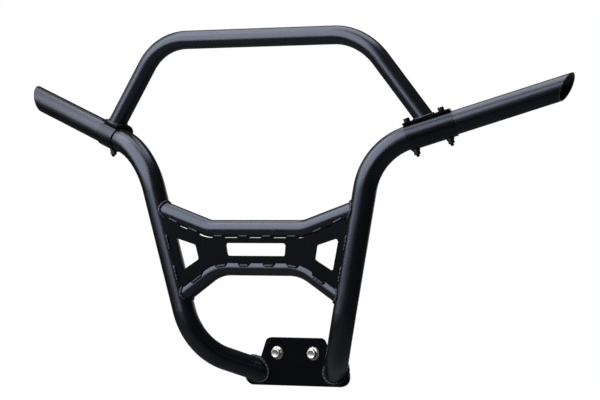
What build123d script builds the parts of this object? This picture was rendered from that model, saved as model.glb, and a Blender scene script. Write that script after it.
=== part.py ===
from build123d import *
import math
import os

# A front bumper for a quad bike: two bent side tubes welded to a lower mount plate, two
# crossbars with a plate panel between them, and a top hoop clamped over the side tubes.
# X runs across the vehicle, +Y points back to the vehicle and +Z is up. The origin is the
# middle of the two mount bolts on the back face of the mount plate.

# Side tubes
SIDE_OD = 38.0
SIDE_WALL = 2.5
LEG_Y = -104.0
LEG_LOW_X = 134.0
LEG_LOW_Z = 19.0
LEG_TOP_X = 209.0
LEG_TOP_Z = 338.0
LEG_LOW_BEND = 105.0
LEG_TOP_BEND = 103.0
FOOT_X = 74.0
FOOT_Z = -28.0
WING_RUN = 319.0
WING_SWEEP = 23.2
WING_RISE = 15.6
TIP_CUT_DOWN = 36.0
TIP_CUT_FRONT = 29.0

# Top hoop
HOOP_OD = 30.0
HOOP_WALL = 2.5
HOOP_CORNER_X = 186.5
HOOP_CORNER_Y = -77.0
HOOP_CORNER_Z = 518.0
HOOP_BEND = 98.0
HOOP_SET_BACK = 5.5

# Crossbars
BAR_OD = 28.0
BAR_WALL = 2.5
UPPER_END_Z = 248.0
UPPER_MID_X = 87.5
UPPER_MID_Z = 214.0
UPPER_END_AHEAD = 1.5
UPPER_MID_AHEAD = 7.0
UPPER_BEND = 45.0
LOWER_END_Z = 101.0
LOWER_MID_X = 77.0
LOWER_MID_Z = 152.0
LOWER_AHEAD = 2.0
LOWER_BEND = 75.0

# Panel between the crossbars
PANEL_T = 3.0
PANEL_AHEAD = 14.0
NOTCH_DEPTH = 2.2
TAB_LEN = 22.0
UPPER_TAB_X = (22.0, 68.0, 115.0, 152.0)
LOWER_TAB_X = (23.0, 66.0, 112.0)
SIDE_STITCH_Z = (140.0, 190.0)
SIDE_STITCH_LEN = 28.0
PANEL_GAP = 0.5
WINDOW_R = 4.0
WINDOW_HALF_W = 55.5
WINDOW_TOP_Z = 191.5
WINDOW_LOW_Z = 171.0
WINDOW_DRAFT = 2.5
SIDE_WINDOW = ((112.0, 188.5), (152.0, 200.5), (138.5, 147.0), (107.0, 165.5))

# Lower mount plate and its bolts
MOUNT_T = 6.0
MOUNT_TOP_Z = 25.0
MOUNT_LOW_Z = -54.0
MOUNT_TOP_HALF = 52.5
MOUNT_WAIST_HALF = 66.0
MOUNT_WAIST_Z = -8.0
MOUNT_LOW_HALF = 97.0
MOUNT_SHOULDER_Z = -24.0
MOUNT_CORNER_R = 10.0
MOUNT_LOBE_R = 16.0
BOLT_SPACING = 67.0
STUD_D = 10.0
STUD_OUT = 28.0
STUD_TIP = 1.0
NECK_D = 9.0
NECK_PAST = 1.5
MOUNT_HOLE_GAP = 0.25
FLANGE_D = 22.0
FLANGE_T = 2.2
MOUNT_HEAD_AF = 15.0
MOUNT_HEAD_H = 8.6
MOUNT_HEAD_RIM = 1.0

# Hoop clamps
CLAMP_AT = 93.0
RIGHT_CLAMP_LEN = 78.0
RIGHT_CLAMP_SHIFT = 4.5
RIGHT_BOLT_PITCH = 56.0
RIGHT_BOLT_SHIFT = 1.5
LEFT_CLAMP_LEN = 41.0
LEFT_BOLT_SHIFT = -5.0
SHELL_T = 2.0
SADDLE_T = 3.0
SADDLE_BACK_DROP = 25.0
SADDLE_FOLD_R = 12.0
SHELL_TOP_ANGLE = 96.0
SHELL_END_ANGLE = -150.0
CLAMP_GAP = 0.1
CLAMP_BOLT_D = 6.0
CLAMP_HOLE_GAP = 0.25
CAP_HEAD_D = 10.0
CAP_HEAD_H = 6.0
HEX_SOCKET_AF = 5.0
HEX_SOCKET_DEPTH = 3.0
WASHER_D = 13.0
WASHER_T = 2.6
NUT_AF = 10.0
NUT_H = 6.0
THREAD_OUT = 3.5

# Weld beads
BEAD = 3.0
PLATE_BEAD = 4.0
HOOP_BEAD = 2.0
STITCH_BEAD = 2.0
STITCH_RISE = 2.0

# Worked out from the sizes above
SIDE_R = SIDE_OD / 2
HOOP_R = HOOP_OD / 2
BAR_R = BAR_OD / 2
SHELL_IN = SIDE_R + CLAMP_GAP
SHELL_OUT = SHELL_IN + SHELL_T
SADDLE_TOP = SHELL_OUT + SADDLE_T
SADDLE_FRONT = HOOP_R + HOOP_BEAD - HOOP_SET_BACK
LEG_LOW = Vector(LEG_LOW_X, LEG_Y, LEG_LOW_Z)
LEG_TOP = Vector(LEG_TOP_X, LEG_Y, LEG_TOP_Z)
LEG_DIR = (LEG_TOP - LEG_LOW).normalized()
PLATE_FRONT_Y = -MOUNT_T
FOOT = Vector(FOOT_X, PLATE_FRONT_Y, FOOT_Z)
FOOT_DIR = (FOOT - LEG_LOW).normalized()
SWEEP = math.radians(WING_SWEEP)
RISE = math.radians(WING_RISE)
WING_DIR = Vector(
    math.cos(RISE) * math.cos(SWEEP), math.cos(RISE) * math.sin(SWEEP), math.sin(RISE)
)
WING_UP = (Vector(0, 0, 1) - WING_DIR * WING_DIR.Z).normalized()
WING_FRONT = WING_DIR.cross(WING_UP).normalized()
TIP = LEG_TOP + WING_DIR * WING_RUN
CLAMP_MID = LEG_TOP + WING_DIR * CLAMP_AT
HOOP_FOOT = CLAMP_MID + WING_UP * SADDLE_TOP - WING_FRONT * HOOP_SET_BACK
HOOP_CORNER = Vector(HOOP_CORNER_X, HOOP_CORNER_Y, HOOP_CORNER_Z)
HOOP_DIR = (HOOP_CORNER - HOOP_FOOT).normalized()
PANEL_Y = LEG_Y - PANEL_AHEAD
PANEL_FRONT_Y = PANEL_Y - PANEL_T / 2


def mirrored(shape):
    """The same shape on the other side of the vehicle."""
    return mirror(shape, about=Plane.YZ)


def flip(point):
    """A point on the other side of the vehicle."""
    return Vector(-point.X, point.Y, point.Z)


def on_leg(z):
    """The point of the right leg's axis at height z."""
    return LEG_LOW + LEG_DIR * ((z - LEG_LOW_Z) / LEG_DIR.Z)


def rod(points, bends, radius):
    """A round bar along straight runs joined by bends."""
    path = FilletPolyline(*points, radius=bends) if bends else Line(*points)
    start = Plane(origin=path @ 0, z_dir=path % 0)
    return sweep(start * Circle(radius), path=path)


def pipe(points, bends, outer_d, wall):
    """A hollow tube along straight runs joined by bends."""
    outer = rod(points, bends, outer_d / 2)
    return outer - rod(points, bends, outer_d / 2 - wall)


def straight_rod(start, end, radius):
    """A straight round bar between two points."""
    axis = end - start
    base = Plane(origin=start, z_dir=axis.normalized())
    return base * Cylinder(radius, axis.length, align=(Align.CENTER, Align.CENTER, Align.MIN))


def half_space(origin, normal, size):
    """A block that starts at a plane and fills the side its normal points to."""
    base = Plane(origin=origin, z_dir=normal)
    return base * Box(size, size, size, align=(Align.CENTER, Align.CENTER, Align.MIN))


def clamp_plane(along=0.0):
    """Section plane of the right clamp: x to the front, y up, seen along the tube."""
    return Plane(origin=CLAMP_MID + WING_DIR * along, x_dir=WING_FRONT, z_dir=-WING_DIR)


def bolt_plane(along, height):
    """A plane square to a clamp bolt, with z up along the bolt."""
    return Plane(
        origin=CLAMP_MID + WING_DIR * along + WING_UP * height, x_dir=WING_DIR, z_dir=WING_UP
    )


RIGHT_BOLTS = [RIGHT_BOLT_SHIFT + side * RIGHT_BOLT_PITCH / 2 for side in (-1, 1)]
LEFT_BOLTS = [LEFT_BOLT_SHIFT]


def clamp_drill(pitches):
    """The holes that the clamp bolts need through tube, shell and saddle."""
    reach = 2 * SADDLE_TOP
    hole = CLAMP_BOLT_D / 2 + CLAMP_HOLE_GAP
    return [bolt_plane(along, 0) * Cylinder(hole, reach) for along in pitches]


def side_tube():
    """The right side tube, from the mount plate up to the slash-cut wing tip."""
    over = SIDE_OD
    points = [FOOT + FOOT_DIR * over, LEG_LOW, LEG_TOP, TIP + WING_DIR * over]
    tube = pipe(points, [LEG_LOW_BEND, LEG_TOP_BEND], SIDE_OD, SIDE_WALL)
    tube -= half_space(FOOT, Vector(0, 1, 0), 3 * SIDE_OD)
    slope_down = math.tan(math.radians(TIP_CUT_DOWN))
    slope_front = math.tan(math.radians(TIP_CUT_FRONT))
    cut_normal = WING_DIR - WING_UP * slope_down + WING_FRONT * slope_front
    return tube - half_space(TIP, cut_normal.normalized(), 5 * SIDE_OD)


def top_hoop():
    """The hoop over the middle, with both feet cut flat to sit on the saddles."""
    over = HOOP_OD
    low = HOOP_FOOT - HOOP_DIR * over
    points = [low, HOOP_CORNER, flip(HOOP_CORNER), flip(low)]
    hoop = pipe(points, [HOOP_BEND, HOOP_BEND], HOOP_OD, HOOP_WALL)
    cut = half_space(HOOP_FOOT, -WING_UP, 3 * HOOP_OD)
    return hoop - cut - mirrored(cut)


UPPER_BAR = (
    on_leg(UPPER_END_Z) - Vector(0, UPPER_END_AHEAD, 0),
    Vector(UPPER_MID_X, LEG_Y - UPPER_MID_AHEAD, UPPER_MID_Z),
    UPPER_BEND,
)
LOWER_BAR = (
    on_leg(LOWER_END_Z) - Vector(0, LOWER_AHEAD, 0),
    Vector(LOWER_MID_X, LEG_Y - LOWER_AHEAD, LOWER_MID_Z),
    LOWER_BEND,
)


def leg_rod(extra=0.0):
    """The straight stretch of the right leg as a full rod, thicker by an extra."""
    return straight_rod(LEG_LOW, LEG_TOP, SIDE_R + extra)


def bar_rod(bar, extra=0.0):
    """A crossbar as a full rod from leg axis to leg axis, thicker by an extra."""
    end, mid, bend = bar
    return rod([end, mid, flip(mid), flip(end)], [bend, bend], BAR_R + extra)


def crossbar(bar):
    """A crossbar, coped to fit round both legs."""
    tube = bar_rod(bar) - bar_rod(bar, -BAR_WALL)
    return tube - leg_rod() - mirrored(leg_rod())


def weld_zone(bar, extra=0.0):
    """The full collar round a crossbar's right end that its weld fills."""
    end, mid, _ = bar
    inward = (mid - end).normalized()
    collar = straight_rod(end, end + inward * 3 * SIDE_R, BAR_R + BEAD + extra)
    return collar & leg_rod(BEAD + extra)


def panel_face_plane():
    """The plane of the panel, x across and y up, at the middle of its thickness."""
    return Plane(origin=(0, PANEL_Y, 0), x_dir=(1, 0, 0), z_dir=(0, -1, 0))


def tab_blocks(tabs):
    """Blocks as wide as the panel's tabs, right and left, that pass through everything."""
    size = 4 * UPPER_END_Z
    right = [Pos(x, 0, 0) * Box(TAB_LEN, size, size) for x in tabs]
    return right + [mirrored(block) for block in right]


def side_window():
    """The right-hand window of the panel, in panel coordinates."""
    window = make_face(Polyline(*SIDE_WINDOW, close=True))
    return fillet(window.vertices(), WINDOW_R)


def middle_window():
    """The long window in the middle of the panel."""
    outline = Polyline(
        (-WINDOW_HALF_W, WINDOW_TOP_Z),
        (WINDOW_HALF_W, WINDOW_TOP_Z),
        (WINDOW_HALF_W - WINDOW_DRAFT, WINDOW_LOW_Z),
        (WINDOW_DRAFT - WINDOW_HALF_W, WINDOW_LOW_Z),
        close=True,
    )
    return fillet(make_face(outline).vertices(), WINDOW_R)


def center_panel():
    """The flat panel that fills the space between legs and crossbars."""
    top_end, top_mid, _ = UPPER_BAR
    low_end, low_mid, _ = LOWER_BAR
    loop = [top_end, top_mid, flip(top_mid), flip(top_end)]
    loop += [flip(low_end), flip(low_mid), low_mid, low_end]
    face = make_face(Polyline(*[(point.X, point.Z) for point in loop], close=True))
    window = side_window()
    face -= window
    face -= mirror(window, about=Plane.YZ)
    face -= middle_window()
    plate = extrude(panel_face_plane() * face, PANEL_T / 2, both=True)
    plate -= leg_rod()
    plate -= mirrored(leg_rod())
    for bar, tabs in ((UPPER_BAR, UPPER_TAB_X), (LOWER_BAR, LOWER_TAB_X)):
        notch = bar_rod(bar, NOTCH_DEPTH)
        for block in tab_blocks(tabs):
            notch -= block
        plate -= notch
        plate -= bar_rod(bar)
        zone = weld_zone(bar, PANEL_GAP)
        plate -= zone
        plate -= mirrored(zone)
    return max(plate.solids(), key=lambda solid: solid.volume)


def mount_plate():
    """The lower mount plate: a narrow head above two wide lobes for the tube feet."""
    right = [
        (MOUNT_TOP_HALF, MOUNT_TOP_Z),
        (MOUNT_WAIST_HALF, MOUNT_WAIST_Z),
        (MOUNT_LOW_HALF, MOUNT_SHOULDER_Z),
        (MOUNT_LOW_HALF, MOUNT_LOW_Z),
    ]
    left = [(-x, z) for x, z in reversed(right)]
    face = make_face(Polyline(*right, *left, close=True))
    face = fillet(face.vertices().sort_by(Axis.Y)[:4], MOUNT_LOBE_R)
    face = fillet(face.vertices().sort_by(Axis.Y)[-2:], MOUNT_CORNER_R)
    front = Plane(origin=(0, 0, 0), x_dir=(1, 0, 0), z_dir=(0, -1, 0))
    plate = extrude(front * face, MOUNT_T)
    hole = STUD_D / 2 + MOUNT_HOLE_GAP
    for x in (-BOLT_SPACING / 2, BOLT_SPACING / 2):
        plate -= Plane(origin=(x, 0, 0), z_dir=(0, -1, 0)) * Cylinder(hole, 4 * MOUNT_T)
    return plate


def mount_bolt(x):
    """One flange bolt through the mount plate, with its thread standing out behind."""
    seat = Plane(origin=(x, PLATE_FRONT_Y, 0), z_dir=(0, -1, 0))
    up = (Align.CENTER, Align.CENTER, Align.MIN)
    flange = Cylinder(FLANGE_D / 2, FLANGE_T, align=up)
    flange = chamfer(flange.edges().sort_by(Axis.Z)[-1], FLANGE_T / 2)
    head = extrude(RegularPolygon(MOUNT_HEAD_AF / 2, 6, major_radius=False), MOUNT_HEAD_H)
    crown = MOUNT_HEAD_AF / 2 - MOUNT_HEAD_RIM
    head &= Cone(crown + MOUNT_HEAD_H, crown, MOUNT_HEAD_H, align=up)
    down = (Align.CENTER, Align.CENTER, Align.MAX)
    neck = Cylinder(NECK_D / 2, MOUNT_T + NECK_PAST, align=down)
    thread = Cylinder(STUD_D / 2, STUD_OUT - NECK_PAST, align=down)
    thread = chamfer(thread.edges().sort_by(Axis.Z)[0], STUD_TIP)
    return seat * (flange + head + neck + Pos(0, 0, -MOUNT_T - NECK_PAST) * thread)


def mount_bolts():
    """Both mount bolts."""
    return [mount_bolt(x) for x in (-BOLT_SPACING / 2, BOLT_SPACING / 2)]


def clamp_shell(length, shift, pitches):
    """The lower shell of a clamp, wrapped round the front and underside of the tube."""
    start = math.radians(SHELL_END_ANGLE)
    span = SHELL_TOP_ANGLE - SHELL_END_ANGLE
    inner = CenterArc((0, 0), SHELL_IN, SHELL_END_ANGLE, span)
    outer = CenterArc((0, 0), SHELL_OUT, SHELL_END_ANGLE, span)
    ends = [Line(inner @ 0, outer @ 0), Line(inner @ 1, outer @ 1)]
    face = make_face([inner, outer, *ends])
    shell = extrude(clamp_plane(shift) * face, length / 2, both=True)
    for hole in clamp_drill(pitches):
        shell -= hole
    return shell


def clamp_saddle(length, shift, pitches):
    """The folded saddle plate on top of a clamp, which carries a hoop foot."""
    back = SHELL_OUT + CLAMP_GAP
    outline = FilletPolyline(
        (SADDLE_FRONT, SHELL_OUT),
        (-back, SHELL_OUT),
        (-back, SHELL_OUT - SADDLE_BACK_DROP),
        radius=SADDLE_FOLD_R,
    )
    face = make_face(offset(outline, amount=SADDLE_T, side=Side.RIGHT))
    saddle = extrude(clamp_plane(shift) * face, length / 2, both=True)
    for hole in clamp_drill(pitches):
        saddle -= hole
    return saddle


def clamp_bolt(along):
    """One socket head bolt through saddle, tube and shell."""
    grip = SADDLE_TOP + SHELL_OUT + WASHER_T + NUT_H + THREAD_OUT
    up = (Align.CENTER, Align.CENTER, Align.MIN)
    down = (Align.CENTER, Align.CENTER, Align.MAX)
    head = Cylinder(CAP_HEAD_D / 2, CAP_HEAD_H, align=up)
    head = chamfer(head.edges().sort_by(Axis.Z)[-1], CLAMP_BOLT_D / 10)
    socket = extrude(RegularPolygon(HEX_SOCKET_AF / 2, 6, major_radius=False), HEX_SOCKET_DEPTH)
    head -= Pos(0, 0, CAP_HEAD_H - HEX_SOCKET_DEPTH) * socket
    shank = Cylinder(CLAMP_BOLT_D / 2, grip, align=down)
    return bolt_plane(along, SADDLE_TOP) * (head + shank)


def clamp_washer(along):
    """One washer under a nut, hollowed to lie on the round shell."""
    hole = CLAMP_BOLT_D / 2 + CLAMP_HOLE_GAP
    depth = 2 * WASHER_T
    blank = Cylinder(WASHER_D / 2, depth, align=(Align.CENTER, Align.CENTER, Align.MIN))
    blank -= Cylinder(hole, 3 * depth)
    washer = bolt_plane(along, -SHELL_OUT - WASHER_T) * blank
    around = clamp_plane() * Cylinder(SHELL_OUT, 2 * RIGHT_CLAMP_LEN)
    return washer - around


def clamp_nut(along):
    """One nut under a clamp."""
    face = RegularPolygon(NUT_AF / 2, 6, major_radius=False)
    nut = extrude(face, -NUT_H)
    nut -= Cylinder(CLAMP_BOLT_D / 2, 3 * NUT_H)
    return bolt_plane(along, -SHELL_OUT - WASHER_T) * nut


def both_clamps(make):
    """One fastener for every clamp bolt, right and left."""
    right = [make(along) for along in RIGHT_BOLTS]
    left = [mirrored(make(along)) for along in LEFT_BOLTS]
    return right + left


def crossbar_welds(bar):
    """The two welds where a crossbar meets the legs."""
    ring = weld_zone(bar) - leg_rod() - bar_rod(bar)
    return [ring, mirrored(ring)]


def stitch(make_rod, radius, axis_y, side):
    """A ridge of weld in the corner between a round tube and the panel's front."""
    crest = axis_y - PANEL_FRONT_Y + STITCH_RISE
    shift = Vector(*side) * (2 * math.sqrt((radius + STITCH_BEAD) ** 2 - crest**2))
    ridge = make_rod(STITCH_BEAD) & (Pos(shift) * make_rod(STITCH_BEAD))
    front = half_space(Vector(0, PANEL_FRONT_Y, UPPER_MID_Z), Vector(0, -1, 0), 4 * UPPER_END_Z)
    return (ridge & front) - make_rod(0.0)


def panel_bar_welds(bar, tabs, side):
    """The stitch welds between a crossbar and the panel's tabs."""
    end, mid, _ = bar
    ridge = stitch(lambda extra: bar_rod(bar, extra), BAR_R, (end.Y + mid.Y) / 2, (0, 0, side))
    ridge -= weld_zone(bar, PANEL_GAP)
    ridge -= mirrored(weld_zone(bar, PANEL_GAP))
    return [ridge & block for block in tab_blocks(tabs)]


def panel_side_welds():
    """The stitch welds between the legs and the panel's ends."""
    ridge = stitch(leg_rod, SIDE_R, LEG_Y, (-1, 0, 0))
    size = 4 * UPPER_END_Z
    right = [ridge & (Pos(0, 0, z) * Box(size, size, SIDE_STITCH_LEN)) for z in SIDE_STITCH_Z]
    return right + [mirrored(bead) for bead in right]


def hoop_welds():
    """The welds round both hoop feet on the saddles."""
    slab = half_space(HOOP_FOOT - WING_UP * SADDLE_T, WING_UP, 4 * HOOP_OD)
    slab &= half_space(HOOP_FOOT + WING_UP * HOOP_BEAD, -WING_UP, 4 * HOOP_OD)
    low, high = HOOP_FOOT - HOOP_DIR * HOOP_OD, HOOP_FOOT + HOOP_DIR * HOOP_OD
    ring = (straight_rod(low, high, HOOP_R + HOOP_BEAD) & slab) - straight_rod(low, high, HOOP_R)
    ring -= clamp_saddle(RIGHT_CLAMP_LEN, 0.0, [])
    ring = max(ring.solids(), key=lambda solid: solid.volume)
    return [ring, mirrored(ring)]


def plate_welds():
    """The welds where the side tubes meet the mount plate."""
    slab = half_space(FOOT, Vector(0, -1, 0), 6 * SIDE_OD)
    slab &= half_space(FOOT - Vector(0, PLATE_BEAD, 0), Vector(0, 1, 0), 6 * SIDE_OD)
    low, high = FOOT - FOOT_DIR * 3 * SIDE_OD, FOOT + FOOT_DIR * 3 * SIDE_OD
    ring = (straight_rod(low, high, SIDE_R + PLATE_BEAD) & slab) - straight_rod(low, high, SIDE_R)
    return [ring, mirrored(ring)]


def save(name, shape):
    """Write one sub-part, or a group of like solids, as a STEP file."""
    solids = shape if isinstance(shape, list) else [shape]
    parts = [solid for part in solids for solid in part.solids()]
    body = Compound(children=parts) if len(parts) > 1 else parts[0]
    body.label = name
    export_step(body, f"parts/{name}.step")


def main():
    os.makedirs("parts", exist_ok=True)
    tube = side_tube()
    right_tube, left_tube = tube, mirrored(tube)
    for hole in clamp_drill(RIGHT_BOLTS):
        right_tube -= hole
    for hole in clamp_drill(LEFT_BOLTS):
        left_tube -= mirrored(hole)
    save("right_side_tube", right_tube)
    save("left_side_tube", left_tube)
    save("top_hoop", top_hoop())
    save("upper_crossbar", crossbar(UPPER_BAR))
    save("lower_crossbar", crossbar(LOWER_BAR))
    save("center_panel", center_panel())
    save("mount_plate", mount_plate())
    save("mount_bolts", mount_bolts())
    right_clamp = (RIGHT_CLAMP_LEN, RIGHT_CLAMP_SHIFT, RIGHT_BOLTS)
    left_clamp = (LEFT_CLAMP_LEN, 0.0, LEFT_BOLTS)
    save("right_clamp_shell", clamp_shell(*right_clamp))
    save("left_clamp_shell", mirrored(clamp_shell(*left_clamp)))
    save("right_clamp_saddle", clamp_saddle(*right_clamp))
    save("left_clamp_saddle", mirrored(clamp_saddle(*left_clamp)))
    save("clamp_bolts", both_clamps(clamp_bolt))
    save("clamp_washers", both_clamps(clamp_washer))
    save("clamp_nuts", both_clamps(clamp_nut))
    save("upper_crossbar_welds", crossbar_welds(UPPER_BAR))
    save("lower_crossbar_welds", crossbar_welds(LOWER_BAR))
    save("panel_upper_welds", panel_bar_welds(UPPER_BAR, UPPER_TAB_X, -1))
    save("panel_lower_welds", panel_bar_welds(LOWER_BAR, LOWER_TAB_X, 1))
    save("panel_side_welds", panel_side_welds())
    save("hoop_welds", hoop_welds())
    save("plate_welds", plate_welds())


if __name__ == "__main__":
    main()
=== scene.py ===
"""Looks, stage and camera for a tubular front bumper for a quad bike."""

import math
from collections import namedtuple
from functools import partial

import bmesh
import bpy
from bpy.props import FloatProperty, FloatVectorProperty, PointerProperty
from mathutils import Matrix, Vector


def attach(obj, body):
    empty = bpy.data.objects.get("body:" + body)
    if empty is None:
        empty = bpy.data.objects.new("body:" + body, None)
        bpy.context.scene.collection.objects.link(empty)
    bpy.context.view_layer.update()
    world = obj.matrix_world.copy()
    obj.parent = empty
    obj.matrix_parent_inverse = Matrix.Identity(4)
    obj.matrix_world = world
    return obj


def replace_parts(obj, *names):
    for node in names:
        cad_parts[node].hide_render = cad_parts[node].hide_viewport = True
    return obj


bl_info = {
    "name": "Quad bike front bumper",
    "version": (1, 0, 0),
    "blender": (4, 5, 0),
    "location": "View3D > Sidebar > Bumper",
    "description": "Dresses the packed bumper with coats, welds, threads and a studio",
    "category": "Object",
}

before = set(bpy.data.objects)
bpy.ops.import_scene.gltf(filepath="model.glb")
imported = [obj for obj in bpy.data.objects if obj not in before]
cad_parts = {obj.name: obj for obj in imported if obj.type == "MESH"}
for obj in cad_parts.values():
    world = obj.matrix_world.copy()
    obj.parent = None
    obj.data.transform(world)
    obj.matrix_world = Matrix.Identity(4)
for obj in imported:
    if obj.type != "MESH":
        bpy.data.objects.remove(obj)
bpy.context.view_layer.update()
MM = 0.001
FRONT = Vector((0, -1, 0))
ACROSS = Vector((1, 0, 0))


def mm(x, y, z):
    """A point given in millimetres."""
    return Vector((x, y, z)) * MM


# Side tubes and mount plate, in the frame of the plate's back; the right side stands for both
SIDE_R = 19.0 * MM
FOOT = mm(74, -6, -28)
LEG_LOW = mm(134, -104, 19)
LEG_TOP = mm(209, -104, 338)
LEG_DIR = (LEG_TOP - LEG_LOW).normalized()
FOOT_DIR = (FOOT - LEG_LOW).normalized()
SWEEP = math.radians(23.2)
RISE = math.radians(15.6)
WING_DIR = Vector(
    (math.cos(RISE) * math.cos(SWEEP), math.cos(RISE) * math.sin(SWEEP), math.sin(RISE))
)
WING_UP = (Vector((0, 0, 1)) - WING_DIR * WING_DIR.z).normalized()
WING_FRONT = WING_DIR.cross(WING_UP).normalized()
PLATE_FRONT = -6.0 * MM


def on_leg(z):
    """The point of the right leg's middle line at a height."""
    return LEG_LOW.lerp(LEG_TOP, (z - LEG_LOW.z) / (LEG_TOP.z - LEG_LOW.z))


# Crossbars: where they meet the leg's line, the corner of their bend and its radius
Bar = namedtuple("Bar", "end corner bend")


def crossbar(end_y, end_z, corner, bend):
    """A crossbar from the depth and height of its end, in millimetres."""
    end = on_leg(end_z * MM)
    end.y = end_y * MM
    return Bar(end, corner, bend * MM)


BAR_R = 14.0 * MM
UPPER_BAR = crossbar(-105.5, 248, mm(87.5, -111, 214), 45)
LOWER_BAR = crossbar(-106, 101, mm(77, -106, 152), 75)

# Panel: its tabs on the crossbars and its stitches on the legs
PANEL_FRONT = -119.5 * MM
TAB_LEN = 22.0 * MM
UPPER_TABS = [x * MM for x in (22, 68, 115, 152)]
LOWER_TABS = [x * MM for x in (23, 66, 112)]
SIDE_STITCHES = [z * MM for z in (140, 190)]
SIDE_STITCH_LEN = 28.0 * MM
STITCH_SHORT = 1.5 * MM
STITCH_LEAN = 0.6

# Hoop and its clamps, which sit this far along the wings
CLAMP_ALONG = 93.0 * MM
CLAMP_MID = LEG_TOP + WING_DIR * CLAMP_ALONG
SHELL_OUT = 21.1 * MM
SADDLE_TOP = 24.1 * MM
FOLD_FRONT = -9.2 * MM
FOLD_UP = 9.1 * MM
FOLD_R = 15.0 * MM
HOOP_R = 15.0 * MM
HOOP_BACK = 5.5 * MM
HOOP_CORNER = mm(186.5, -77, 518)
HOOP_FOOT = CLAMP_MID + WING_UP * SADDLE_TOP - WING_FRONT * HOOP_BACK
HOOP_DIR = (HOOP_CORNER - HOOP_FOOT).normalized()

# Threads: their depth as a share of the pitch, the slope of their flanks and the width of
# their crests; a shank's thread runs out over a short length, and its top ends inside the head
THREAD_DEPTH = 0.6
FLANK_SLOPE = 1.3
CREST = 0.15
THREAD_STEPS = 6
RUN_OUT = 0.5 * MM
IN_HEAD = 0.2 * MM

# Clamp screws and nuts. A profile holds (height, radius) in millimetres; on a hexagon the
# radius cuts the corners, and an infinite one leaves them whole
RIGHT_BOLTS = (-26.5 * MM, 29.5 * MM)
LEFT_BOLTS = (-5.0 * MM,)
SCREW_R = 3.0 * MM
SCREW_THREAD = 20.0 * MM
KNURL_R = 4.93 * MM
KNURL_DEPTH = 0.07 * MM
KNURLS = 30
KNURL_FROM = 0.3 * MM
KNURL_TO = 5.3 * MM
KEY_FLATS = 5.0 * MM
SCREW_UNDERSIDE = ((0.0, 4.7),)
SCREW_RIM = ((5.75, 4.7), (6.0, 4.3), (6.0, 3.2))
KEY_WALL = ((5.7, math.inf), (3.0, math.inf))
KEY_FLOOR = ((2.6, 0.8),)
WASHER_T = 2.6 * MM
THREAD_OUT = 3.5 * MM
NUT_H = 6.0 * MM
NUT_FLATS = 10.0 * MM
NUT_TOP = ((0.0, 3.5), (0.0, 4.7))
NUT_SIDES = ((-0.5, 5.55), (-1.0, math.inf), (-5.0, math.inf), (-5.5, 5.55))
NUT_UNDERSIDE = ((-6.0, 4.7), (-6.0, 3.5))
NUT_BORE = ((-5.6, 3.05), (-0.4, 3.05))

# Mount bolts; each has its side and the turn of its head in radians
MOUNT_BOLTS = ((-1, 0.2), (1, -0.35))
BOLT_SPACING = 67.0 * MM
STUD_OUT = 34.0 * MM
STUD_R = 5.0 * MM
NECK_R = 4.5 * MM
NECK_LEN = 8.0 * MM
HEAD_FLATS = 15.0 * MM
FLANGE = ((0.0, 10.6), (0.35, 11.0), (1.0, 11.0), (1.3, 10.7), (2.5, 8.9))
HEAD_SIDES = ((2.9, 8.5), (7.5, 8.5), (7.9, 8.1), (8.3, 7.5))
HEAD_DISH = ((8.6, 6.5), (8.6, 6.0), (8.3, 5.4), (8.25, 0.6))

# Weld beads: steps in a ripple, sides of the bead, how far its crown lies back, the size of its
# ends, and its slow drift as (share, turn for each step, start) of two waves
RIPPLE_STEPS = 6
BEAD_SIDES = 10
BEAD_LEAN = 0.35
BEAD_END = 0.35
BEAD_DRIFT = ((0.06, 0.37, 0.0), (0.04, 0.113, 1.7))
WELD_SMOOTH = 60.0

# Small round edges on what is cut or folded from sheet
PLATE_EDGE = 0.4 * MM
CLAMP_EDGE = 0.35 * MM
WASHER_EDGE = 0.3 * MM
EDGE_ANGLE = 50.0
EDGE_SEGMENTS = 2

# Powder coat: clouds darken it and shift its gloss. Dust and a painted highlight lie in specks on
# what looks up, gather towards the level, and the dust dulls the coat. Clouds and specks are
# counted by the metre
COAT_TINT = (0.74, 0.79, 1.0)
COAT_DEEP = (0.002, 0.002, 0.0025, 1)
COAT_CLOUDS = 23.0
CLOUD_SHADE = 0.35
CLOUD_GLOSS = 0.14
# Bluish grey of the dust, which also paints a highlight of the light from above on faces that look
# up
DUST_AND_HIGHLIGHT_COLOUR = (0.16, 0.17, 0.2, 1)
DUST_SPECKS = 900.0
DUST_LEAST = 0.2
DUST_AND_HIGHLIGHT_GATHER = 3.0
DUST_DULLS = 0.5

# Plated and blackened steel: stains begin where their clouds pass a level, and a fine grain shifts
# the gloss. Clouds and grains are counted by the metre
BLACKENED = (0.03, 0.03, 0.032)
BLACKENED_STAIN = (0.02, 0.018, 0.016)
NUT_STAIN = (0.05, 0.045, 0.04)
ZINC_STAIN = (0.34, 0.22, 0.15)
STAIN_CLOUDS = 260.0
STAIN_LEVEL = 0.48
STAIN_SOFTNESS = 0.5
STAIN_GROWTH = 3.2
PLATING_GRAIN = 2400.0
GRAIN_GLOSS = 0.2
PLATING_BUMP = 0.02 * MM

# Studio, in metres: the floor and the backdrop's curve from front to back, half their widths and
# their tones in the light; each lamp has its place, the point that it shines on and its size
FLOOR_FROM = -14.0
FLOOR_TO = 6.6
FLOOR_HALF = 16.0
FLOOR_TONE = 0.12
CURVE_FROM = 8.6
CURVE_R = 2.0
CURVE_STEPS = 12
BACKDROP_TOP = 1.5
BACKDROP_HALF = 10.0
BACKDROP_TONE = 0.8
SHEET_ROUGHNESS = 0.9
SHEET_SPECULAR = 0.2
LAMP_COLOUR = (0.93, 0.96, 1.0)
LAMPS = (
    ("key", (-1.35, -2.2, 1.85), (0, -0.1, 0.3), (4.6, 3.9)),
    ("top", (-0.4, 0.5, 3.0), (-0.4, 0.5, 0), (3.6, 2.6)),
    ("fill", (-2.6, -0.35, 1.95), (0, -0.1, 0.3), (2.2, 2.2)),
)
CAMERA_PLACE = mm(2388.85, -4196.51, 598.79)
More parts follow.
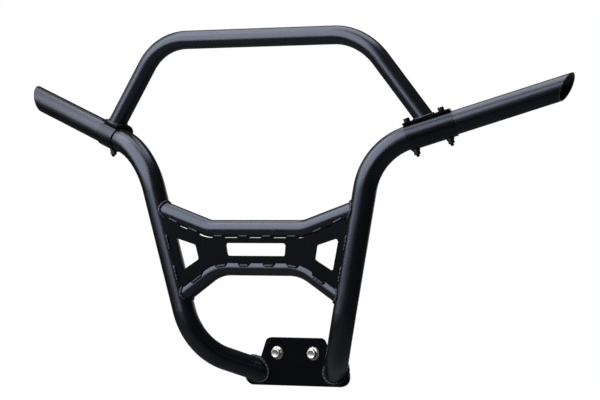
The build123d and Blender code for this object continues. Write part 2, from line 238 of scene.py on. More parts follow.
CAMERA_RIGHT = Vector((0.8759, 0.4806, -0.0433))
CAMERA_AHEAD = Vector((-0.4825, 0.8723, -0.0789))
CAMERA_LENS = 178.33
CAMERA_SENSOR = 36.0
CAMERA_SHIFT = (-0.046, 0.032)
CAMERA_REACH = 60.0


# Settings

class CoatSettings(bpy.types.PropertyGroup):
    """The black powder coat."""

    colour: FloatVectorProperty(
        name="Colour", description="Base colour of the coat", subtype="COLOR",
        size=3, min=0, max=1, default=(0.0028, 0.0029, 0.0034),
    )
    roughness: FloatProperty(
        name="Roughness", description="Roughness of the coat",
        subtype="FACTOR", min=0, max=1, default=0.28,
    )
    peel_size: FloatProperty(
        name="Peel size", description="Distance between the small bumps of the coat",
        subtype="DISTANCE", unit="LENGTH", min=0.0002, default=0.0016,
    )
    peel_depth: FloatProperty(
        name="Peel depth", description="Height of the small bumps of the coat",
        subtype="DISTANCE", unit="LENGTH", min=0, default=0.00006,
    )
    # Share of dust and painted highlight on faces that look up
    dust_and_highlight: FloatProperty(
        name="Dust and highlight", description="Share of dust on faces that look up",
        subtype="FACTOR", min=0, max=1, default=0.04,
    )


class MetalSettings(bpy.types.PropertyGroup):
    """The plated bolts, washers and nuts."""

    zinc: FloatVectorProperty(
        name="Zinc", description="Colour of the plated mount bolts", subtype="COLOR",
        size=3, min=0, max=1, default=(0.74, 0.73, 0.68),
    )
    nut: FloatVectorProperty(
        name="Nut", description="Colour of the clamps' nuts and washers", subtype="COLOR",
        size=3, min=0, max=1, default=(0.10, 0.102, 0.11),
    )
    thread_pitch: FloatProperty(
        name="Thread pitch", description="Pitch of the mount bolts' thread",
        subtype="DISTANCE", unit="LENGTH", min=0.0005, default=0.0015,
    )
    small_pitch: FloatProperty(
        name="Small pitch", description="Pitch of the clamp screws' thread",
        subtype="DISTANCE", unit="LENGTH", min=0.0004, default=0.001,
    )


class WeldSettings(bpy.types.PropertyGroup):
    """The weld beads under the coat."""

    ripple: FloatProperty(
        name="Ripple", description="Distance between two ripples of a bead",
        subtype="DISTANCE", unit="LENGTH", min=0.0005, default=0.0023,
    )
    ripple_depth: FloatProperty(
        name="Ripple depth", description="Share of a bead's radius that its ripples take",
        subtype="FACTOR", min=0, max=0.6, default=0.12,
    )
    joint_radius: FloatProperty(
        name="Joint bead", description="Radius of the beads round the crossbars' ends",
        subtype="DISTANCE", unit="LENGTH", min=0.0005, default=0.0029,
    )
    hoop_radius: FloatProperty(
        name="Hoop bead", description="Radius of the beads round the hoop's feet",
        subtype="DISTANCE", unit="LENGTH", min=0.0005, default=0.0021,
    )
    foot_radius: FloatProperty(
        name="Foot bead", description="Radius of the beads between side tubes and mount plate",
        subtype="DISTANCE", unit="LENGTH", min=0.0005, default=0.0036,
    )
    stitch_radius: FloatProperty(
        name="Stitch bead", description="Radius of the short beads along the panel",
        subtype="DISTANCE", unit="LENGTH", min=0.0005, default=0.0024,
    )


class StageSettings(bpy.types.PropertyGroup):
    """Floor and light."""

    floor_z: FloatProperty(
        name="Floor height", description="Height of the floor, measured from the mount bolts",
        subtype="DISTANCE", unit="LENGTH", default=-1.3,
    )
    key_power: FloatProperty(
        name="Key power", description="Power of the large soft box in front",
        subtype="POWER", unit="POWER", min=0, default=172.0,
    )
    top_power: FloatProperty(
        name="Top power", description="Power of the lamp overhead",
        subtype="POWER", unit="POWER", min=0, default=76.0,
    )
    fill_power: FloatProperty(
        name="Fill power", description="Power of the soft lamp on the left",
        subtype="POWER", unit="POWER", min=0, default=12.0,
    )
    room_light: FloatProperty(
        name="Room light", description="Strength of the even light from all round",
        subtype="FACTOR", min=0, max=1, default=0.035,
    )


# Mesh helpers

def add_piece(name, bm, material, smooth_angle=35.0):
    """Turns a bmesh into a piece of the bumper with one material."""
    bmesh.ops.recalc_face_normals(bm, faces=bm.faces)
    mesh = bpy.data.meshes.new(name)
    bm.to_mesh(mesh)
    bm.free()
    mesh.shade_smooth()
    mesh.set_sharp_from_angle(angle=math.radians(smooth_angle))
    mesh.materials.append(material)
    piece = bpy.data.objects.new(name, mesh)
    bpy.context.scene.collection.objects.link(piece)
    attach(piece, "root")
    return piece


def skin(bm, rings, closed):
    """Joins rings of points to a tube, with caps where the tube doesn't close on itself."""
    rows = [[bm.verts.new(point) for point in ring] for ring in rings]
    count = len(rows)
    for i in range(count if closed else count - 1):
        low, high = rows[i], rows[(i + 1) % count]
        for k in range(len(low)):
            n = (k + 1) % len(low)
            bm.faces.new((low[k], low[n], high[n], high[k]))
    if not closed:
        bm.faces.new(list(reversed(rows[0])))
        bm.faces.new(rows[-1])


def mirror_copy(bm):
    """Adds the same faces on the other side of the vehicle."""
    twin = bmesh.ops.duplicate(bm, geom=bm.verts[:] + bm.edges[:] + bm.faces[:])["geom"]
    for vert in twin:
        if isinstance(vert, bmesh.types.BMVert):
            vert.co.x = -vert.co.x
    faces = [face for face in twin if isinstance(face, bmesh.types.BMFace)]
    bmesh.ops.reverse_faces(bm, faces=faces)


def flipped(point):
    """A point on the other side of the vehicle."""
    return Vector((-point.x, point.y, point.z))


def rounded_path(corners, radius, steps=10):
    """Points along straight runs with a round bend at each inner corner."""
    points = [corners[0]]
    for before, corner, after in zip(corners, corners[1:], corners[2:]):
        back = (before - corner).normalized()
        ahead = (after - corner).normalized()
        half = back.angle(ahead) / 2
        middle = corner + (back + ahead).normalized() * (radius / math.sin(half))
        start = corner + back * (radius / math.tan(half))
        end = corner + ahead * (radius / math.tan(half))
        arm, other = start - middle, end - middle
        turn = arm.angle(other)
        for i in range(steps + 1):
            f = i / steps
            share = math.sin((1 - f) * turn) * arm + math.sin(f * turn) * other
            points.append(middle + share / math.sin(turn))
    points.append(corners[-1])
    return points


def resample(points, step, closed):
    """The same line with evenly spaced points."""
    if closed:
        points = points + [points[0]]
    lengths = [0.0]
    for a, b in zip(points, points[1:]):
        lengths.append(lengths[-1] + (b - a).length)
    count = max(4, round(lengths[-1] / step))
    out = []
    i = 0
    for n in range(count if closed else count + 1):
        target = lengths[-1] * n / count
        while i < len(lengths) - 2 and lengths[i + 1] < target:
            i += 1
        share = (target - lengths[i]) / max(lengths[i + 1] - lengths[i], 1e-9)
        out.append(points[i].lerp(points[i + 1], share))
    return out


def away(point, origin, axis):
    """The direction from an axis out to a point."""
    arm = point - origin
    return (arm - axis * arm.dot(axis)).normalized()


# Threads, hexagons and other bodies round an axis

def turned(bm, base, across, along, rows, sides, closed=False):
    """A body from rows of (height, radius) round an axis; a radius may depend on the turn."""
    other = along.cross(across)
    rings = []
    for height, radius in rows:
        ring = []
        for k in range(sides):
            turn = math.tau * k / sides
            size = radius(turn) if callable(radius) else radius
            arm = across * math.cos(turn) + other * math.sin(turn)
            ring.append(base + along * height + arm * size)
        rings.append(ring)
    skin(bm, rings, closed)


def hexagon(flats, cap=math.inf):
    """Radius of a hexagon at any turn, held within a round cap."""
    def radius(turn):
        lean = (turn + math.pi / 6) % (math.pi / 3) - math.pi / 6
        return min(cap, flats / 2 / math.cos(lean))

    return radius


def round_rows(profile):
    """Rows of a profile that is given in millimetres."""
    return [(height * MM, radius * MM) for height, radius in profile]


def hex_rows(profile, flats):
    """Rows of a hexagon; the profile's radius, in millimetres, cuts its corners round."""
    return [(height * MM, hexagon(flats, cap * MM)) for height, cap in profile]


def thread_rows(low, high, radius, pitch):
    """Rows of a helical thread that ends in a bevelled tip at its low end."""
    count = round((high - low) / pitch * THREAD_STEPS)
    depth = THREAD_DEPTH * pitch
    rows = []
    for i in range(count + 1):
        height = low + (high - low) * i / count
        cap = radius - depth + min(depth, height - low)

        def size(turn, height=height, cap=cap):
            flank = abs(2 * ((height / pitch - turn / math.tau) % 1.0) - 1)
            cut = min(1.0, max(0.0, flank * FLANK_SLOPE - CREST))
            return min(cap, radius - depth * cut)

        rows.append((height, size))
    return rows


def knurl(turn):
    """Radius of a screw head's knurled side."""
    return KNURL_R + KNURL_DEPTH * math.cos(KNURLS * turn)


def cap_screw(bm, base, across, up, pitch):
    """A socket head screw through saddle, tube and shell."""
    side = [(KNURL_FROM, knurl), (KNURL_TO, knurl)]
    head = round_rows(SCREW_UNDERSIDE) + side + round_rows(SCREW_RIM)
    key = hex_rows(KEY_WALL, KEY_FLATS) + round_rows(KEY_FLOOR)
    turned(bm, base + up * SADDLE_TOP, across, up, head + key, sides=60)
    low = -SHELL_OUT - WASHER_T - NUT_H - THREAD_OUT
    high = low + SCREW_THREAD
    shank = thread_rows(low, high, SCREW_R, pitch)
    shank += [(high + RUN_OUT, SCREW_R), (SADDLE_TOP + IN_HEAD, SCREW_R)]
    turned(bm, base, across, up, shank, sides=24)


def hex_nut(bm, base, across, up):
    """A nut under the washer, with its bore open."""
    outside = round_rows(NUT_TOP) + hex_rows(NUT_SIDES, NUT_FLATS) + round_rows(NUT_UNDERSIDE)
    place = base - up * (SHELL_OUT + WASHER_T)
    turned(bm, place, across, up, outside + round_rows(NUT_BORE), sides=48, closed=True)


def flange_bolt(bm, base, across, pitch):
    """A mount bolt: flange and hexagon in front of the plate, neck in it, thread behind it."""
    head = round_rows(FLANGE) + hex_rows(HEAD_SIDES, HEAD_FLATS) + round_rows(HEAD_DISH)
    turned(bm, base, across, FRONT, head, sides=72)
    shank = thread_rows(-STUD_OUT, -NECK_LEN, STUD_R, pitch)
    shank += [(RUN_OUT - NECK_LEN, NECK_R), (IN_HEAD, NECK_R)]
    turned(bm, base, across, FRONT, shank, sides=36)


def clamp_bolts_at():
    """Base point, direction along the tube and direction up of every clamp screw."""
    places = [(CLAMP_MID + WING_DIR * at, WING_DIR, WING_UP) for at in RIGHT_BOLTS]
    for at in LEFT_BOLTS:
        places.append((flipped(CLAMP_MID + WING_DIR * at), flipped(WING_DIR), flipped(WING_UP)))
    return places


# Weld beads: where they run on the right half, and which way their crowns look

def bead_size(step, count, depth, closed):
    """Size of a bead at one of its steps: ripples, a slow drift, and ends that taper."""
    wave = (step / RIPPLE_STEPS) % 1.0
    size = 1 - depth * (1 - math.sqrt(max(0.0, 1 - (2 * wave - 1) ** 2)))
    size *= 1 + sum(share * math.sin(step * turn + start) for share, turn, start in BEAD_DRIFT)
    if not closed:
        to_end = min(step, count - 1 - step) / RIPPLE_STEPS
        size *= min(1.0, BEAD_END + (1 - BEAD_END) * to_end)
    return size


def bead(bm, line, outward, radius, ripple, depth, closed):
    """A rippled weld bead along a line, with its crown towards outward(point)."""
    points = resample(line, ripple / RIPPLE_STEPS, closed)
    count = len(points)
    rings = []
    for i, point in enumerate(points):
        if closed:
            along = points[(i + 1) % count] - points[i - 1]
        else:
            along = points[min(i + 1, count - 1)] - points[max(i - 1, 0)]
        along.normalize()
        crown = outward(point)
        crown = (crown - along * crown.dot(along)).normalized()
        side = along.cross(crown)
        size = radius * bead_size(i, count, depth, closed)
        ring = []
        for k in range(BEAD_SIDES):
            turn = math.tau * k / BEAD_SIDES
            rise, spread = size * math.cos(turn), size * math.sin(turn)
            ring.append(point + crown * rise + side * spread - along * (BEAD_LEAN * rise))
        rings.append(ring)
    skin(bm, rings, closed)


def meeting_line(origin, axis, radius, above, steps=72, start=60 * MM, rounds=60):
    """The closed line where a round tube meets a surface; above(point) is the way left to it."""
    side = axis.orthogonal().normalized()
    other = axis.cross(side)
    line = []
    for k in range(steps):
        turn = math.tau * k / steps
        point = origin - axis * start + (side * math.cos(turn) + other * math.sin(turn)) * radius
        for _ in range(rounds):
            point = point + axis * above(point)
        line.append(point)
    return line


def above_leg(point):
    """Distance to the surface of the right side tube."""
    arm = point - LEG_LOW
    return (arm - LEG_DIR * arm.dot(LEG_DIR)).length - SIDE_R


def above_saddle(point):
    """Distance to the top of the right saddle, which folds down at its back."""
    front = (point - CLAMP_MID).dot(WING_FRONT)
    up = (point - CLAMP_MID).dot(WING_UP)
    if front > FOLD_FRONT:
        return up - SADDLE_TOP
    return math.hypot(front - FOLD_FRONT, up - FOLD_UP) - FOLD_R


def above_plate(point):
    """Distance to the front of the mount plate."""
    return PLATE_FRONT - point.y


def crossbar_run(bar):
    """The joint between a crossbar and the leg."""
    axis = (bar.end - bar.corner).normalized()
    line = meeting_line(bar.end, axis, BAR_R, above_leg)
    return line, lambda point: away(point, bar.end, axis) + away(point, LEG_LOW, LEG_DIR)


def hoop_run():
    """The joint between the hoop's foot and the saddle."""
    line = meeting_line(HOOP_FOOT, -HOOP_DIR, HOOP_R, above_saddle)
    return line, lambda point: away(point, HOOP_FOOT, HOOP_DIR) + WING_UP


def foot_run():
    """The joint between the side tube's foot and the mount plate."""
    line = meeting_line(FOOT, FOOT_DIR, SIDE_R, above_plate)
    return line, lambda point: away(point, FOOT, FOOT_DIR) + FRONT


def bar_corner(bar, side, step=1 * MM):
    """The line where a crossbar touches the panel's front, under it (-1) or over it (1)."""
    corners = [flipped(bar.end), flipped(bar.corner), bar.corner, bar.end]
    points = resample(rounded_path(corners, bar.bend), step, False)
    line = []
    for before, point, after in zip(points, points[1:], points[2:]):
        normal = (before - after).cross(FRONT).normalized() * side
        deep = point.y - PANEL_FRONT
        out = point + normal * math.sqrt(max(0.0, BAR_R ** 2 - deep ** 2))
        line.append(Vector((out.x, PANEL_FRONT, out.z)))
    return line


def tab_runs(bar, tabs, side):
    """Stitches in the corner between a crossbar and each tab of the panel."""
    corner = bar_corner(bar, side)
    crown = FRONT + Vector((0, 0, STITCH_LEAN * side))
    half = TAB_LEN / 2 - STITCH_SHORT
    runs = []
    for tab in tabs:
        run = [point for point in corner if abs(point.x - tab) < half]
        runs.append((run, lambda point: crown))
    return runs


def side_runs(steps=27):
    """Stitches in the corner between the leg and the panel's edge."""
    inward = Vector((-LEG_DIR.z, 0, LEG_DIR.x))
    deep = LEG_LOW.y - PANEL_FRONT
    reach = math.sqrt(SIDE_R ** 2 - deep ** 2)
    crown = FRONT - ACROSS * STITCH_LEAN
    half = SIDE_STITCH_LEN / 2 - STITCH_SHORT
    runs = []
    for middle in SIDE_STITCHES:
        run = []
        for step in range(steps + 1):
            point = on_leg(middle + half * (2 * step / steps - 1)) + inward * reach
            run.append(Vector((point.x, PANEL_FRONT, point.z)))
        runs.append((run, lambda point: crown))
    return runs


# Shader groups and materials

FINISH_OUTPUTS = (
    ("Colour", "NodeSocketColor"), ("Roughness", "NodeSocketFloat"), ("Height", "NodeSocketFloat"),
)

# Places of the colour sockets on a Mix node
MIX_A = 6
MIX_B = 7
MIX_RESULT = 2


def new_group(name, inputs):
    """An empty shader group that takes named inputs and puts out a finish."""
    group = bpy.data.node_groups.new(name, "ShaderNodeTree")
    for label, kind, value in inputs:
        socket = group.interface.new_socket(label, in_out="INPUT", socket_type=kind)
        socket.default_value = value
    for label, kind in FINISH_OUTPUTS:
        group.interface.new_socket(label, in_out="OUTPUT", socket_type=kind)
    return group, group.nodes.new("NodeGroupInput"), group.nodes.new("NodeGroupOutput")


def feed(tree, socket, value):
    """Links a socket to another one, or sets it to a value."""
    if isinstance(value, bpy.types.NodeSocket):
        tree.links.new(value, socket)
    else:
        socket.default_value = value


def maths(tree, operation, *values):
    """A maths node; each input is a socket or a number."""
    node = tree.nodes.new("ShaderNodeMath")
    node.operation = operation
    for socket, value in zip(node.inputs, values):
        feed(tree, socket, value)
    return node.outputs[0]


def blend_colour(tree, factor, a, b):
    """A mix of two colours; each input is a socket or a value."""
    node = tree.nodes.new("ShaderNodeMix")
    node.data_type = "RGBA"
    feed(tree, node.inputs["Factor"], factor)
    feed(tree, node.inputs[MIX_A], a)
    feed(tree, node.inputs[MIX_B], b)
    return node.outputs[MIX_RESULT]


def noise(tree, vector, scale, detail, roughness):
    """A noise texture's value; scale may be a socket."""
    node = tree.nodes.new("ShaderNodeTexNoise")
    feed(tree, node.inputs["Vector"], vector)
    feed(tree, node.inputs["Scale"], scale)
    feed(tree, node.inputs["Detail"], detail)
    feed(tree, node.inputs["Roughness"], roughness)
    return node.outputs["Fac"]


def powder_coat_group():
    """Orange peel, cloudy gloss and a little dust with a painted highlight on the faces that look
    up.
    """
    if "Powder coat" in bpy.data.node_groups:
        return bpy.data.node_groups["Powder coat"]
    group, given, result = new_group("Powder coat", (
        ("Colour", "NodeSocketColor", (0.01, 0.01, 0.01, 1)),
        ("Roughness", "NodeSocketFloat", 0.35),
        ("Peel size", "NodeSocketFloat", 0.0016),
        ("Dust and highlight", "NodeSocketFloat", 0.1),
    ))
    calc = partial(maths, group)
    place = group.nodes.new("ShaderNodeTexCoord").outputs["Object"]
    normal = group.nodes.new("ShaderNodeNewGeometry").outputs["Normal"]
    split = group.nodes.new("ShaderNodeSeparateXYZ")
    group.links.new(normal, split.inputs[0])
    peel_scale = calc("DIVIDE", 1.0, given.outputs["Peel size"])
    peel = noise(group, place, peel_scale, detail=2.0, roughness=0.45)
    cloud = noise(group, place, COAT_CLOUDS, detail=3.0, roughness=0.55)
    speck = noise(group, place, DUST_SPECKS, detail=1.0, roughness=0.5)

    # Dust and a painted highlight lie in specks, thickest and lightest where a face looks straight
    # up
    up_facing = calc("POWER", calc("MAXIMUM", split.outputs["Z"], 0.0), DUST_AND_HIGHLIGHT_GATHER)
    grain = calc("ADD", calc("MULTIPLY", speck, 1 - DUST_LEAST), DUST_LEAST)
    dust_and_highlight = calc("MULTIPLY", calc("MULTIPLY", up_facing, given.outputs["Dust and highlight"]), grain)

    # The clouds darken the colour and shift the gloss to both sides
    shade = calc("MULTIPLY", cloud, CLOUD_SHADE)
    darker = blend_colour(group, shade, given.outputs["Colour"], COAT_DEEP)
    shift = calc("MULTIPLY", calc("SUBTRACT", cloud, 0.5), CLOUD_GLOSS)
    rough = calc("ADD", given.outputs["Roughness"], shift)

    # The dust colour lightens faces that look up: real dust, and a painted highlight of the light
    # from above
    group.links.new(blend_colour(group, dust_and_highlight, darker, DUST_AND_HIGHLIGHT_COLOUR), result.inputs["Colour"])
    rough = calc("ADD", rough, calc("MULTIPLY", dust_and_highlight, DUST_DULLS))
    group.links.new(rough, result.inputs["Roughness"])
    group.links.new(peel, result.inputs["Height"])
    return group


def plating_group():
    """Cloudy stains and fine grain of plated steel."""
    if "Plated steel" in bpy.data.node_groups:
        return bpy.data.node_groups["Plated steel"]
    group, given, result = new_group("Plated steel", (
        ("Colour", "NodeSocketColor", (0.6, 0.6, 0.6, 1)),
        ("Stain", "NodeSocketColor", (0.3, 0.2, 0.15, 1)),
        ("Stain amount", "NodeSocketFloat", 0.4),
        ("Roughness", "NodeSocketFloat", 0.35),
    ))
    calc = partial(maths, group)
    place = group.nodes.new("ShaderNodeTexCoord").outputs["Object"]
    cloud = noise(group, place, STAIN_CLOUDS, detail=3.0, roughness=0.6)
    grain = noise(group, place, PLATING_GRAIN, detail=2.0, roughness=0.5)

    # A stain grows softly where the clouds pass the level
    stain = calc("SMOOTH_MAX", calc("SUBTRACT", cloud, STAIN_LEVEL), 0.0, STAIN_SOFTNESS)
    stain = calc("MULTIPLY", calc("MULTIPLY", stain, STAIN_GROWTH), given.outputs["Stain amount"])
    colour = blend_colour(group, stain, given.outputs["Colour"], given.outputs["Stain"])
    shift = calc("MULTIPLY", calc("SUBTRACT", grain, 0.5), GRAIN_GLOSS)
    group.links.new(colour, result.inputs["Colour"])
    group.links.new(calc("ADD", given.outputs["Roughness"], shift), result.inputs["Roughness"])
    group.links.new(grain, result.inputs["Height"])
    return group


def dressed_material(name, group, values, bump, metallic=0.0, specular=0.5, tint=(1, 1, 1)):
    """A Principled material that takes colour, roughness and bumps from a shader group."""
    if name in bpy.data.materials:
        return bpy.data.materials[name]
    material = bpy.data.materials.new(name)
    material.use_nodes = True
    tree = material.node_tree
    shader = tree.nodes["Principled BSDF"]
    shader.inputs["Metallic"].default_value = metallic
    shader.inputs["Specular IOR Level"].default_value = specular
    shader.inputs["Specular Tint"].default_value = (*tint, 1)
    effect = tree.nodes.new("ShaderNodeGroup")
    effect.node_tree = group
    for label, value in values.items():
        effect.inputs[label].default_value = value
    raised = tree.nodes.new("ShaderNodeBump")
    raised.inputs["Strength"].default_value = 1.0
    raised.inputs["Distance"].default_value = bump
    tree.links.new(effect.outputs["Height"], raised.inputs["Height"])
    tree.links.new(raised.outputs["Normal"], shader.inputs["Normal"])
    tree.links.new(effect.outputs["Colour"], shader.inputs["Base Color"])
    tree.links.new(effect.outputs["Roughness"], shader.inputs["Roughness"])
    return material


def coat_material(name, rough_shift=0.0, tone=1.0, specular=1.0):
    """The black powder coat, a little glossier or duller and lighter or darker."""
    coat = bpy.context.scene.bumper_coat
    values = {
        "Colour": [min(1.0, c * tone) for c in coat.colour] + [1.0],
        "Roughness": coat.roughness + rough_shift,
        "Peel size": coat.peel_size,
        "Dust and highlight": coat.dust_and_highlight,
    }
    return dressed_material(
        name, powder_coat_group(), values, coat.peel_depth, specular=specular, tint=COAT_TINT
    )


def metal_material(name, colour, stain, amount, roughness):
    """Plated steel with its own tint and gloss, and an amount of stains."""
    values = {
        "Colour": [*colour, 1.0],
        "Stain": [*stain, 1.0],
        "Stain amount": amount,
        "Roughness": roughness,
    }
    return dressed_material(name, plating_group(), values, PLATING_BUMP, metallic=1.0)


def paint(node, material, edge=0.0):
    """Gives a carried-over node one material and, for sheet metal, small round edges."""
    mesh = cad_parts[node].data
    mesh.materials.clear()
    mesh.materials.append(material)
    if edge:
        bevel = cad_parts[node].modifiers.new("edges", "BEVEL")
        bevel.width = edge
        bevel.segments = EDGE_SEGMENTS
        bevel.limit_method = "ANGLE"
        bevel.angle_limit = math.radians(EDGE_ANGLE)
        bevel.use_clamp_overlap = True


# Operators for the pieces

class BUMPER_OT_tubes(bpy.types.Operator):
    """Coats the side tubes, the hoop and the crossbars"""

    bl_idname = "bumper.tubes"
    bl_label = "Tubes"

    def execute(self, context):
        coat = coat_material("tube_powder_coat")
        for side in ("right", "left"):
            paint(side + "_side_tube", coat)
        for node in ("top_hoop", "upper_crossbar", "lower_crossbar"):
            paint(node, coat)
        return {"FINISHED"}


class BUMPER_OT_plates(bpy.types.Operator):
    """Coats the panel and the mount plate and rounds their edges"""

    bl_idname = "bumper.plates"
    bl_label = "Panel and mount plate"

    def execute(self, context):
        coat = coat_material("plate_powder_coat", rough_shift=0.02, tone=0.9, specular=0.1)
        for node in ("center_panel", "mount_plate"):
            paint(node, coat, PLATE_EDGE)
        return {"FINISHED"}


class BUMPER_OT_clamps(bpy.types.Operator):
    """Coats the hoop clamps and makes their screws and nuts"""

    bl_idname = "bumper.clamps"
    bl_label = "Clamps"

    def execute(self, context):
        metal = context.scene.bumper_metal
        coat = coat_material("clamp_powder_coat", rough_shift=-0.05, tone=1.6, specular=0.7)
        black = metal_material(
            "blackened_steel", BLACKENED, BLACKENED_STAIN, amount=0.4, roughness=0.4
        )
        dull = metal_material("dull_plated_steel", metal.nut, NUT_STAIN, amount=0.5, roughness=0.38)
        for side in ("right", "left"):
            paint(side + "_clamp_shell", coat, CLAMP_EDGE)
            paint(side + "_clamp_saddle", coat, CLAMP_EDGE)
        paint("clamp_washers", dull, WASHER_EDGE)
        screws, nuts = bmesh.new(), bmesh.new()
        for base, across, up in clamp_bolts_at():
            cap_screw(screws, base, across, up, metal.small_pitch)
            hex_nut(nuts, base, across, up)
        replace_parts(add_piece("clamp_cap_screws", screws, black), "clamp_bolts")
        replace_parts(add_piece("clamp_hex_nuts", nuts, dull), "clamp_nuts")
        return {"FINISHED"}


class BUMPER_OT_mount_bolts(bpy.types.Operator):
    """Makes the two flange bolts of the mount plate"""

    bl_idname = "bumper.mount_bolts"
    bl_label = "Mount bolts"

    def execute(self, context):
        metal = context.scene.bumper_metal
        zinc = metal_material("zinc_plating", metal.zinc, ZINC_STAIN, amount=0.45, roughness=0.34)
        bolts = bmesh.new()
        for side, spin in MOUNT_BOLTS:
            base = Vector((side * BOLT_SPACING / 2, PLATE_FRONT, 0))
            across = ACROSS * math.cos(spin) + FRONT.cross(ACROSS) * math.sin(spin)
            flange_bolt(bolts, base, across, metal.thread_pitch)
        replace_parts(add_piece("mount_flange_bolts", bolts, zinc), "mount_bolts")
        return {"FINISHED"}


class BUMPER_OT_welds(bpy.types.Operator):
    """Lays rippled weld beads over every joint"""

    bl_idname = "bumper.welds"
    bl_label = "Welds"

    def execute(self, context):
        weld = context.scene.bumper_weld
        coat = coat_material("weld_powder_coat", rough_shift=-0.06, tone=1.5, specular=0.7)

        def lay(name, node, runs, radius, closed):
            bm = bmesh.new()
            for line, outward in runs:
                bead(bm, line, outward, radius, weld.ripple, weld.ripple_depth, closed)
            mirror_copy(bm)
            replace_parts(add_piece(name, bm, coat, WELD_SMOOTH), node)

        for name, bar in (("upper_crossbar", UPPER_BAR), ("lower_crossbar", LOWER_BAR)):
            lay(name + "_beads", name + "_welds", [crossbar_run(bar)], weld.joint_radius, True)
        lay("hoop_foot_beads", "hoop_welds", [hoop_run()], weld.hoop_radius, True)
        lay("plate_beads", "plate_welds", [foot_run()], weld.foot_radius, True)
        for name, runs in (
            ("panel_upper", tab_runs(UPPER_BAR, UPPER_TABS, -1)),
            ("panel_lower", tab_runs(LOWER_BAR, LOWER_TABS, 1)),
            ("panel_side", side_runs()),
        ):
            lay(name + "_stitches", name + "_welds", runs, weld.stitch_radius, False)
        return {"FINISHED"}


# Stage

def seen_directly(tree, mirrored):
    """1 for rays of the camera and, if mirrored, for those of gloss and glass, 0 for light."""
    path = tree.nodes.new("ShaderNodeLightPath")
    if not mirrored:
        return path.outputs["Is Camera Ray"]
    both = maths(tree, "MAXIMUM", path.outputs["Is Camera Ray"], path.outputs["Is Glossy Ray"])
    return maths(tree, "MAXIMUM", both, path.outputs["Is Transmission Ray"])


def white_material(name, tone, mirrored):
    """A matt sheet that shows plain white where it is looked at, and in gloss if mirrored."""
    material = bpy.data.materials.new(name)
    material.use_nodes = True
    tree = material.node_tree
    shader = tree.nodes["Principled BSDF"]
    shader.inputs["Base Color"].default_value = (tone, tone, tone, 1)
    shader.inputs["Roughness"].default_value = SHEET_ROUGHNESS
    shader.inputs["Specular IOR Level"].default_value = SHEET_SPECULAR
    white = tree.nodes.new("ShaderNodeEmission")
    mix = tree.nodes.new("ShaderNodeMixShader")
    tree.links.new(seen_directly(tree, mirrored), mix.inputs[0])
    tree.links.new(shader.outputs[0], mix.inputs[1])
    tree.links.new(white.outputs[0], mix.inputs[2])
    tree.links.new(mix.outputs[0], tree.nodes["Material Output"].inputs["Surface"])
    return material


def studio_sheet(name, profile, half, material):
    """A wide sheet swept along X from a profile of (y, z) points, as part of the stage."""
    bm = bmesh.new()
    left, right = [[bm.verts.new((x, y, z)) for y, z in profile] for x in (-half, half)]
    for i in range(len(profile) - 1):
        bm.faces.new((left[i], left[i + 1], right[i + 1], right[i]))
    mesh = bpy.data.meshes.new(name)
    bm.to_mesh(mesh)
    bm.free()
    mesh.shade_smooth()
    mesh.materials.append(material)
    sheet = bpy.data.objects.new(name, mesh)
    bpy.context.scene.collection.objects.link(sheet)


def backdrop_profile(floor_z):
    """The backdrop's section: from the floor's far edge through a quarter round, and up."""
    profile = [(FLOOR_TO, floor_z), (CURVE_FROM, floor_z)]
    for step in range(1, CURVE_STEPS + 1):
        turn = math.pi / 2 * step / CURVE_STEPS
        y = CURVE_FROM + CURVE_R * math.sin(turn)
        profile.append((y, floor_z + CURVE_R - CURVE_R * math.cos(turn)))
    profile.append((CURVE_FROM + CURVE_R, BACKDROP_TOP))
    return profile


def studio_room(strength):
    """Even light from all round, which the camera sees as white."""
    world = bpy.data.worlds.new("studio")
    bpy.context.scene.world = world
    world.use_nodes = True
    tree = world.node_tree
    background = tree.nodes["Background"]
    background.inputs["Color"].default_value = (1, 1, 1, 1)
    seen = maths(tree, "MAXIMUM", seen_directly(tree, False), strength)
    tree.links.new(seen, background.inputs["Strength"])


def area_lamp(name, place, target, size, power):
    """A soft rectangular lamp that shines on a point."""
    data = bpy.data.lights.new(name, "AREA")
    data.shape = "RECTANGLE"
    data.size, data.size_y = size
    data.energy = power
    data.color = LAMP_COLOUR
    lamp = bpy.data.objects.new(name, data)
    lamp.location = place
    lamp.rotation_euler = (Vector(target) - lamp.location).to_track_quat("-Z", "Y").to_euler()
    bpy.context.scene.collection.objects.link(lamp)


def studio_camera():
    """The camera at the photograph's viewing angle."""
    data = bpy.data.cameras.new("camera")
    data.sensor_width = CAMERA_SENSOR
    data.lens = CAMERA_LENS
    data.shift_x, data.shift_y = CAMERA_SHIFT
    data.clip_end = CAMERA_REACH
    camera = bpy.data.objects.new("camera", data)
    ahead = CAMERA_AHEAD.normalized()
    up = CAMERA_RIGHT.normalized().cross(ahead)
    right = ahead.cross(up)
    turn = Matrix((right, up, -ahead)).transposed().to_4x4()
    camera.matrix_world = Matrix.Translation(CAMERA_PLACE) @ turn
    bpy.context.scene.collection.objects.link(camera)
    bpy.context.scene.camera = camera


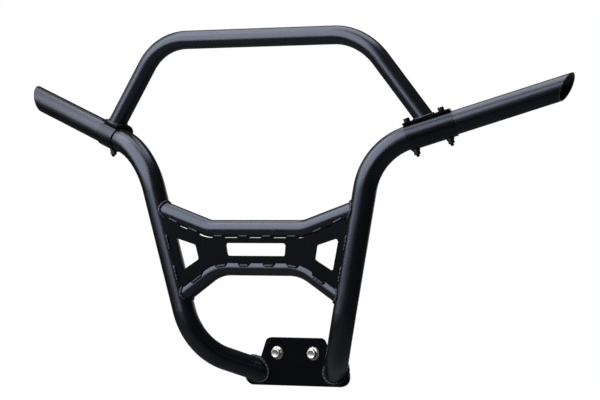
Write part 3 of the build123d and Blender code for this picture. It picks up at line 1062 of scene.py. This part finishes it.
class BUMPER_OT_stage(bpy.types.Operator):
    """Sets floor, backdrop, lamps and camera"""

    bl_idname = "bumper.stage"
    bl_label = "Stage"

    def execute(self, context):
        stage = context.scene.bumper_stage
        floor = [(FLOOR_FROM, stage.floor_z), (FLOOR_TO, stage.floor_z)]
        backdrop = backdrop_profile(stage.floor_z)

        # A white floor or room, mirrored in the coat, would grey the black undersides of the tubes
        white_floor = white_material("floor_white", FLOOR_TONE, mirrored=False)
        white_backdrop = white_material("backdrop_white", BACKDROP_TONE, mirrored=True)
        studio_sheet("studio_floor", floor, FLOOR_HALF, white_floor)
        studio_sheet("studio_backdrop", backdrop, BACKDROP_HALF, white_backdrop)
        studio_room(stage.room_light)
        powers = {"key": stage.key_power, "top": stage.top_power, "fill": stage.fill_power}
        for name, place, target, size in LAMPS:
            area_lamp(name, place, target, size, powers[name])
        studio_camera()
        context.scene.view_settings.view_transform = "Standard"
        return {"FINISHED"}


class BUMPER_PT_pieces(bpy.types.Panel):
    """Lists the bumper's pieces, the stage and their settings"""

    bl_label = "Bumper"
    bl_space_type = "VIEW_3D"
    bl_region_type = "UI"
    bl_category = "Bumper"

    def draw(self, context):
        for name, cls in SETTINGS.items():
            box = self.layout.box()
            for setting in cls.__annotations__:
                box.prop(getattr(context.scene, name), setting)
        for operator in OPERATORS:
            self.layout.operator(operator.bl_idname)


SETTINGS = {
    "bumper_coat": CoatSettings,
    "bumper_metal": MetalSettings,
    "bumper_weld": WeldSettings,
    "bumper_stage": StageSettings,
}
OPERATORS = (
    BUMPER_OT_tubes, BUMPER_OT_plates, BUMPER_OT_clamps, BUMPER_OT_mount_bolts,
    BUMPER_OT_welds, BUMPER_OT_stage,
)


def register():
    """Makes the classes and their settings known to Blender."""
    for cls in (*SETTINGS.values(), *OPERATORS, BUMPER_PT_pieces):
        bpy.utils.register_class(cls)
    for name, cls in SETTINGS.items():
        setattr(bpy.types.Scene, name, PointerProperty(type=cls))


def unregister():
    """Takes the settings and the classes away again."""
    for name in SETTINGS:
        delattr(bpy.types.Scene, name)
    for cls in reversed((*SETTINGS.values(), *OPERATORS, BUMPER_PT_pieces)):
        bpy.utils.unregister_class(cls)


def main():
    """Builds every piece in order."""
    register()
    bpy.ops.bumper.tubes()
    bpy.ops.bumper.plates()
    bpy.ops.bumper.clamps()
    bpy.ops.bumper.mount_bolts()
    bpy.ops.bumper.welds()
    bpy.ops.bumper.stage()


if __name__ == "__main__":
    main()
